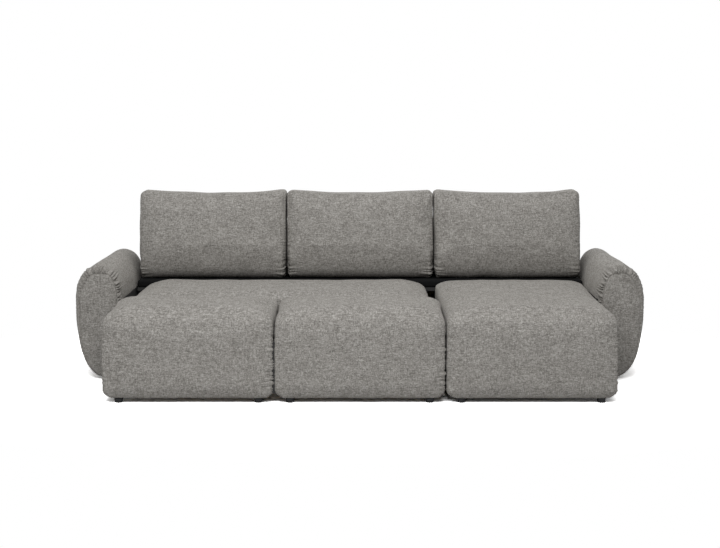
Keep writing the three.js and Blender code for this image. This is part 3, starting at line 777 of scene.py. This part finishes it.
CUSHION_HEIGHT = 0.470
CUSHION_THICKNESS = 0.175
CUSHION_CROWN = 0.026
CUSHION_EDGE = 0.030
CUSHION_BOTTOM_WIDTH = 0.018
CUSHION_BOTTOM_DEPTH = 0.125   # the front turns under at the foot
CUSHION_BOTTOM_HEIGHT = 0.165
CUSHION_DIP = 0.020            # of the top edge between its corners
CUSHION_SIDE_PULL = 0.0035
CUSHION_SIDE_BELLY = 0.0015
CUSHION_OVERHANG = 0.016       # of the foot ahead of the ledge
CUSHION_BACK_GAP = 0.013


def make_cushion(node, seed):
    """A leaning back cushion: crowned faces, drawn-in sides, a top edge that sags between its corners."""
    box_low, box_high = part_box(node)
    half = (box_high.x - box_low.x) / 2
    centre = (box_high.x + box_low.x) / 2
    foot = Vector((centre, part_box("ledge_pad")[0].y - CUSHION_OVERHANG, box_low.z))
    low, high = np.array((-half, 0, 0)), np.array((half, CUSHION_THICKNESS, CUSHION_HEIGHT))
    back_low, back_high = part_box("back_cover")
    lean_run = back_low.y - CUSHION_BACK_GAP - CUSHION_CROWN - CUSHION_THICKNESS - foot.y
    lean = lean_run / (back_high.z - BACK_TOP_EDGE - foot.z)

    def shape(points, at):
        x, y, z = points.T
        swell = at[:, 1] * CUSHION_CROWN * crown(at[:, 0], at[:, 2], 3)
        pull = at[:, 0] * CUSHION_SIDE_PULL * (1 - at[:, 2] ** 2) * (0.5 - 0.5 * at[:, 1])
        pull -= at[:, 0] * CUSHION_SIDE_BELLY * crown(at[:, 1], at[:, 2], 4)
        dip = np.clip(at[:, 2], 0, 1) * CUSHION_DIP * (1 - at[:, 0] ** 2)
        return np.stack([foot.x + x - pull, foot.y + y + swell + z * lean, foot.z + z - dip], 1)

    edges = growing(2, CUSHION_EDGE, CUSHION_BOTTOM_WIDTH, CUSHION_EDGE)
    turn_under = growing(2, CUSHION_EDGE, CUSHION_BOTTOM_DEPTH, CUSHION_EDGE, 2)
    foot_round = growing(1, CUSHION_BOTTOM_HEIGHT, CUSHION_BOTTOM_HEIGHT, CUSHION_EDGE, 1)
    radii = ((edges, edges), (turn_under, CUSHION_EDGE), (foot_round, CUSHION_EDGE))
    points, faces, places, steps = soft_box(low, high, radii, (20, 4, 20), shape, ease=(0.5, 0, 0))
    piece = make_object(node.replace("cushion", "pillow"), points, faces)
    x, y, z = places.T
    pinned = (z == 0) | (z == steps[2]) | (x == 0) | (x == steps[0])
    inflate(piece, pinned, CUSHION_CLOTH_CAP, CUSHION_CLOTH_SLACK)
    corner_lines = [(x == side) & (y == face) for face in (0, steps[1]) for side in (0, steps[0])]
    seams = [grid_row(piece, (line, z)) for line in corner_lines]
    subdivide(piece)
    unsettle(piece, wavelength=0.17, depth=0.0022, seed=seed)
    front_seams = seams[:2]
    refine(piece, front_seams, CUSHION_REFINED)

    def lower(points):
        return 0.45 + 0.7 * smooth((0.26 - (points[:, 2] - foot.z)) / 0.22)

    def lowest(points):
        return smooth((0.13 - (points[:, 2] - foot.z)) / 0.07)

    puckers = [(*CUSHION_PUCKERS, lower), (*CUSHION_FOOT_PUCKERS, lowest)]
    for number, seam in enumerate(seams):
        gather(piece, seam, puckers, CUSHION_GROOVE, seed + number)
    dress(piece, node, fabric)


for number, node in enumerate(("left_back_cushion", "middle_back_cushion", "right_back_cushion")):
    make_cushion(node, 101 + 17 * number)


# Arms

ARM_SECTION = [            # points of an arm's outline from the inside, as shares of its width and height
    (0.42, 0), (0.62, 0.045), (0.80, 0.15), (0.93, 0.31), (1, 0.52), (1, 0.70), (0.94, 0.845),
    (0.77, 0.955), (0.5, 1), (0.23, 0.96), (0.06, 0.85), (0, 0.70), (0, 0.45), (0, 0.2), (0.04, 0.05),
    (0.2, 0)]
ARM_SPACING = 0.0020       # between the points of a section where it is gathered
ARM_SPACING_LOW = 0.008    # and below
ARM_PANEL_RINGS = 13
ARM_NOSE_RINGS = 12
ARM_LENGTH_RINGS = 60
ARM_REAR_RINGS = 10
ARM_REAR_PANEL_RINGS = 8
ARM_CROWDING = 1.25        # over 1 sets the rings of the length closer together near the front
ARM_PANEL_CROWDING = 2.2   # over 1 sets the rings of the front panel closer together near its seam
ARM_DOME_POWER = 2.2       # a higher power keeps a panel's middle flatter
ARM_DOME = 0.014           # swell of the front and rear panels
ARM_NOSE = 0.050           # depth of the rounded edge round a panel
ARM_SEAM_INSET = (0.008, 0.028)   # of the front seam from the outline, and what is added at the top
ARM_REAR_INSET = 0.030
ARM_PUCKER_START = 0.5     # share of the height over which the roll is gathered
ARM_PUCKER_RISE = 0.14     # and over which the puckers grow from there


def closed_curve(points, spacing):
    """A smooth curve through closed points, redrawn with the spacing that a function gives."""
    points = np.array(points)
    fine = []
    share = np.linspace(0, 1, 40, endpoint=False)[:, None]
    for n in range(len(points)):
        a, b, c, d = (points[(n + k) % len(points)] for k in (-1, 0, 1, 2))
        fine.append(0.5 * (2 * b + (c - a) * share + (2 * a - 5 * b + 4 * c - d) * share ** 2
                           + (3 * b - a - 3 * c + d) * share ** 3))
    fine = np.concatenate(fine)
    closed = np.concatenate([fine, fine[:1]])
    steps = np.linalg.norm(np.diff(closed, axis=0), axis=1) / spacing(fine)
    run = np.concatenate([[0], np.cumsum(steps)])
    even = np.linspace(0, run[-1], round(run[-1]), endpoint=False)
    return np.stack([np.interp(even, run, closed[:, axis]) for axis in range(2)], 1)


def make_arm(side, name, seed):
    """An arm: an outline carried front to back, a domed front panel, and a roll gathered round its seam."""
    node = f"arm_cover_{name}"
    low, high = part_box(node)
    inner = low.x if side > 0 else high.x
    width, height = high.x - low.x, high.z - low.z

    def spacing(points):
        gathered_share = smooth((points[:, 1] / height - 0.45) / 0.1)
        return ARM_SPACING_LOW + (ARM_SPACING - ARM_SPACING_LOW) * gathered_share

    section = closed_curve([(u * width, v * height) for u, v in ARM_SECTION], spacing)
    sides = len(section)
    section = np.clip(section, 0, (width, height))
    centre = np.array((width / 2, height / 2))
    tangent = np.roll(section, -1, 0) - np.roll(section, 1, 0)
    tangent /= np.linalg.norm(tangent, axis=1)[:, None]
    outward = np.stack([tangent[:, 1], -tangent[:, 0]], 1)
    towards_top = smooth((outward @ np.array((0.45, 0.89)) + 0.1) / 1.0)
    inset = ARM_SEAM_INSET[0] + ARM_SEAM_INSET[1] * towards_top
    seam = section - outward * inset[:, None]
    front, back = low.y, high.y
    rings = []
    for share in 1 - (1 - np.linspace(0, 1, ARM_PANEL_RINGS + 1)[1:]) ** ARM_PANEL_CROWDING:
        flat = centre + (seam - centre) * share
        rings.append((flat, front + ARM_DOME * share ** ARM_DOME_POWER))
    for turn in np.linspace(0, math.pi / 2, ARM_NOSE_RINGS)[1:]:
        flat = seam + (section - seam) * math.sin(turn)
        rings.append((flat, front + ARM_DOME + ARM_NOSE * (1 - math.cos(turn))))
    front_end = rings[-1][1]
    rear_start = back - ARM_DOME - ARM_NOSE
    spread = np.linspace(0, 1, ARM_LENGTH_RINGS)[1:-1] ** ARM_CROWDING
    rings += [(section, front_end + (rear_start - front_end) * s) for s in spread]
    rear_seam = section - outward * ARM_REAR_INSET
    for turn in np.linspace(math.pi / 2, 0, ARM_REAR_RINGS):
        flat = rear_seam + (section - rear_seam) * math.sin(turn)
        rings.append((flat, rear_start + ARM_NOSE * math.cos(turn)))
    for share in np.linspace(1, 0, ARM_REAR_PANEL_RINGS)[1:-1]:
        flat = centre + (rear_seam - centre) * share
        rings.append((flat, back - ARM_DOME * share ** ARM_DOME_POWER))
    points = [(inner + side * centre[0], front, low.z + centre[1])]
    for flat, y in rings:
        points += [(inner + side * u, y, low.z + v) for u, v in flat]
    points.append((inner + side * centre[0], back, low.z + centre[1]))

    def ring_start(ring):
        return 1 + ring * sides

    faces = []
    for n in range(sides):
        after = (n + 1) % sides
        faces.append((0, ring_start(0) + n, ring_start(0) + after))
        for ring in range(len(rings) - 1):
            a, b = ring_start(ring), ring_start(ring + 1)
            faces.append((a + n, b + n, b + after, a + after))
        last = ring_start(len(rings) - 1)
        faces.append((len(points) - 1, last + after, last + n))
    if side < 0:
        faces = [face[::-1] for face in faces]
    piece = make_object(f"arm_upholstery_{name}", points, faces)
    unsettle(piece, wavelength=0.2, depth=0.0016, seed=seed)
    ring = ring_start(ARM_PANEL_RINGS - 1)
    gathered = seam_line(get_points(piece.data)[ring:ring + sides])

    def over_top(points):
        behind = smooth((points[:, 1] - front - ARM_DOME + 0.002) / 0.006)
        rise = smooth((points[:, 2] - low.z - ARM_PUCKER_START * height) / (ARM_PUCKER_RISE * height))
        towards_inside = smooth((side * (inner - points[:, 0]) + 1.05 * width) / (0.7 * width))
        return behind * rise * (0.15 + 0.85 * towards_inside)

    puckers = [(*sizes, over_top) for sizes in ARM_PUCKERS]
    gather(piece, gathered, puckers, ARM_GROOVE, seed, weakest=0.65, sink=0.3, sharpness=1.5, start=0.009)
    panel_low, panel_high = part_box(f"arm_panel_{name}")
    cut_box(piece, (panel_low.x - (SLACK if side < 0 else OVERRUN), panel_low.y - SLACK, low.z - OVERRUN),
            (panel_high.x + (SLACK if side > 0 else OVERRUN), panel_high.y + SLACK, panel_high.z + SLACK))
    dress(piece, node, fabric)


make_arm(-1, "left", 211)
make_arm(1, "right", 223)


# Feet and the remaining CAD nodes

FOOT_RIM = 0.0015
FOOT_TAPER = 0.003
FOOT_SIDES = 48


def make_foot(node):
    """A moulded foot: tapered, with rounded rims."""
    low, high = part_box(node)
    radius, height = (high.x - low.x) / 2, high.z - low.z
    centre = (low + high) / 2
    rim = FOOT_RIM
    base = radius - FOOT_TAPER
    profile = [(base - rim, 0), (base - rim * 0.3, rim * 0.3), (base, rim)]
    profile += [(radius, height - rim * 2), (radius, height - rim), (radius - rim, height)]
    sides = FOOT_SIDES
    points, faces = [], []
    angles = [2 * math.pi * n / sides for n in range(sides)]
    for r, z in profile:
        points += [(centre.x + r * math.cos(a), centre.y + r * math.sin(a), low.z + z) for a in angles]
    rows = len(profile)
    for row in range(rows - 1):
        for n in range(sides):
            after = (n + 1) % sides
            lower, upper = row * sides, (row + 1) * sides
            faces.append((lower + n, lower + after, upper + after, upper + n))
    faces.append(tuple(range(sides))[::-1])
    faces.append(tuple((rows - 1) * sides + n for n in range(sides)))
    piece = make_object(node.replace("foot", "glide"), points, faces)
    dress(piece, node, plastic, crease=35)


for node in [name for name in frame["nodes"] if "_foot" in name]:
    make_foot(node)

# black_board and black_lining get near-black looks that are partly painted shade
LOOKS = {
    "timber": timber, "black_board": board, "black_lining": lining, "black_steel": steel, "zinc_pins": zinc,
    "foot_plastic": plastic, "grey_fabric": fabric}
for name, piece in frame["nodes"].items():
    for place in piece.material_slots:
        words = place.material.name.split(".")[0]
        place.material = LOOKS.get(words, steel)
        if words not in LOOKS:
            print("no look for", name, words)


# Stage, light and camera

FLOOR_HALF = 30.0
FLOOR_COLOR = (0.60, 0.60, 0.60)
FLOOR_SEEN = (3.2, 3.2, 3.2)
FLOOR_FADE = (2.6, 1.9)        # half axes of the round spot where the floor shows
WORLD_STRENGTH = 0.34


def make_floor():
    """A pale floor that keeps the sofa's shadow and, for the camera, clears to the white round about."""
    corners = [(-FLOOR_HALF, -FLOOR_HALF, 0), (FLOOR_HALF, -FLOOR_HALF, 0), (FLOOR_HALF, FLOOR_HALF, 0),
               (-FLOOR_HALF, FLOOR_HALF, 0)]
    floor = make_object("floor", corners, [(0, 1, 2, 3)])
    material, tree, shader = new_material("floor", 0.9)
    shader.inputs["Specular IOR Level"].default_value = 0.0
    path = add_node(tree, "ShaderNodeLightPath")
    color = add_node(tree, "ShaderNodeMix", {
        0: path.outputs["Is Camera Ray"], 6: (*FLOOR_COLOR, 1), 7: (*FLOOR_SEEN, 1)}, data_type="RGBA")
    tree.links.new(color.outputs[2], shader.inputs["Base Color"])
    place = add_node(tree, "ShaderNodeTexCoord").outputs["Object"]
    shrunk = stretched(tree, place, (1 / FLOOR_FADE[0], 1 / FLOOR_FADE[1], 0))
    distance = add_node(tree, "ShaderNodeVectorMath", {0: shrunk}, operation="LENGTH").outputs["Value"]
    away = times(tree, scaled(tree, distance, 0.75, 1, 0, 1), path.outputs["Is Camera Ray"])
    clear = add_node(tree, "ShaderNodeBsdfTransparent")
    blend = add_node(tree, "ShaderNodeMixShader", {0: away, 1: shader.outputs[0], 2: clear.outputs[0]})
    tree.links.new(blend.outputs[0], tree.nodes["Material Output"].inputs["Surface"])
    floor.data.materials.append(material)


def area_light(name, place, target, size, power):
    data = bpy.data.lights.new(name, "AREA")
    data.shape = "RECTANGLE"
    data.size, data.size_y = size
    data.energy = power
    lamp = bpy.data.objects.new(name, data)
    scene.collection.objects.link(lamp)
    lamp.location = place
    lamp.rotation_euler = (Vector(target) - Vector(place)).to_track_quat("-Z", "Y").to_euler()


def make_world():
    """Even sky light; the camera, gloss and glass see it white."""
    world = bpy.data.worlds.new("studio")
    world.use_nodes = True
    tree = world.node_tree
    background = tree.nodes["Background"]
    background.inputs["Color"].default_value = (1, 1, 1, 1)
    path = add_node(tree, "ShaderNodeLightPath").outputs
    seen = added(tree, path["Is Camera Ray"], path["Is Glossy Ray"], path["Is Transmission Ray"])
    strength = mixed(tree, seen, WORLD_STRENGTH, 1.0)
    tree.links.new(strength, background.inputs["Strength"])
    scene.world = world


make_floor()
make_world()
area_light("key", place=(-0.5, -4.6, 3.6), target=(0, 0, 0.4), size=(3.2, 1.8), power=180)
area_light("top", place=(0, 0.3, 4.6), target=(0, 0, 0.3), size=(4.0, 2.0), power=66)
area_light("rear", place=(0.8, 5.2, 1.3), target=(0, 0.8, 0.4), size=(3.2, 1.4), power=80)

camera_data = bpy.data.cameras.new("camera")
camera_data.lens = CAMERA_LENS
camera_data.sensor_width = CAMERA_SENSOR
camera = bpy.data.objects.new("camera", camera_data)
scene.collection.objects.link(camera)
camera.location = (0, cad_bounds[0].y - CAMERA_TO_SEAT_FRONTS, CAMERA_HEIGHT)
camera.rotation_euler = (math.pi / 2 - CAMERA_PITCH, 0, 0)
scene.camera = camera
scene.view_settings.view_transform = "Standard"
